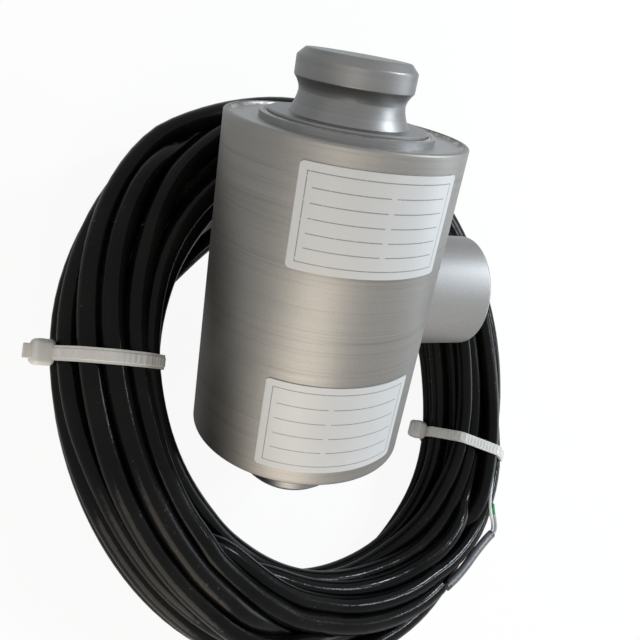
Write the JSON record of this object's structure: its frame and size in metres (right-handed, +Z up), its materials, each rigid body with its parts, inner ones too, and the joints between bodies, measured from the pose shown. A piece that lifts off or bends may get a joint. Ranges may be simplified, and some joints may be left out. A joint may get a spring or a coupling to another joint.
{
  "type": "column load cell",
  "caption": "Canister load cell with a load button at each end, a side cable housing and two labels, leaning on the tied coil of its own black cable.",
  "frame": {"origin": "bottom centre of the box round the load cell without its cable, on the surface that the coil and the tube's rim lie on", "axes": "+Z up from that surface, +Y the level direction in which the load axis leans up, +X towards the side housing"},
  "size_m": [0.2305, 0.2249, 0.1165],
  "materials": {
    "column_steel": "fine turned satin",
    "housing_steel": "bead-blasted satin with turned lines",
    "weld_bead": "rough bright weld",
    "gland_metal": "plated, satin",
    "board_post_brass": "turned brass",
    "gauge_foil": "amber film with foil",
    "board_green": "lacquered board",
    "resistor_black": "matt",
    "seal_rubber": "matt rubber",
    "harness_wire": "smooth",
    "core_red": "smooth",
    "label_white": "smooth film label",
    "cable_black": "glossy cable jacket, scuffed",
    "sleeve_grey": "heat-shrink sleeve",
    "core_green": "smooth",
    "core_white": "smooth",
    "tie_nylon": "milky nylon"
  },
  "bodies": {
    "root": {"measuring_column": "column_steel", "strain_gauges": "gauge_foil", "housing_tube": "housing_steel", "top_end_plate": "column_steel", "bottom_end_plate": "column_steel", "top_collar_weld": "weld_bead", "bottom_collar_weld": "weld_bead", "top_rim_weld": "weld_bead", "bottom_rim_weld": "weld_bead", "side_housing": "housing_steel", "side_cover": "housing_steel", "cover_seal": "seal_rubber", "gland_body": "gland_metal", "gland_washer": "seal_rubber", "gland_seal": "seal_rubber", "gland_nut": "gland_metal", "cable_entry": "cable_black", "gauge_harness": "harness_wire", "terminal_board": "board_green", "board_posts": "board_post_brass", "trim_resistors": "resistor_black", "board_cores": "core_red", "upper_label": "label_white", "lower_label": "label_white", "cable_lead": "cable_black", "cable_coil": "cable_black", "cable_tail": "cable_black", "tail_sleeve": "sleeve_grey", "green_core": "core_green", "white_core": "core_white", "left_tie": "tie_nylon", "right_tie": "tie_nylon"}
  },
  "joints": []
}
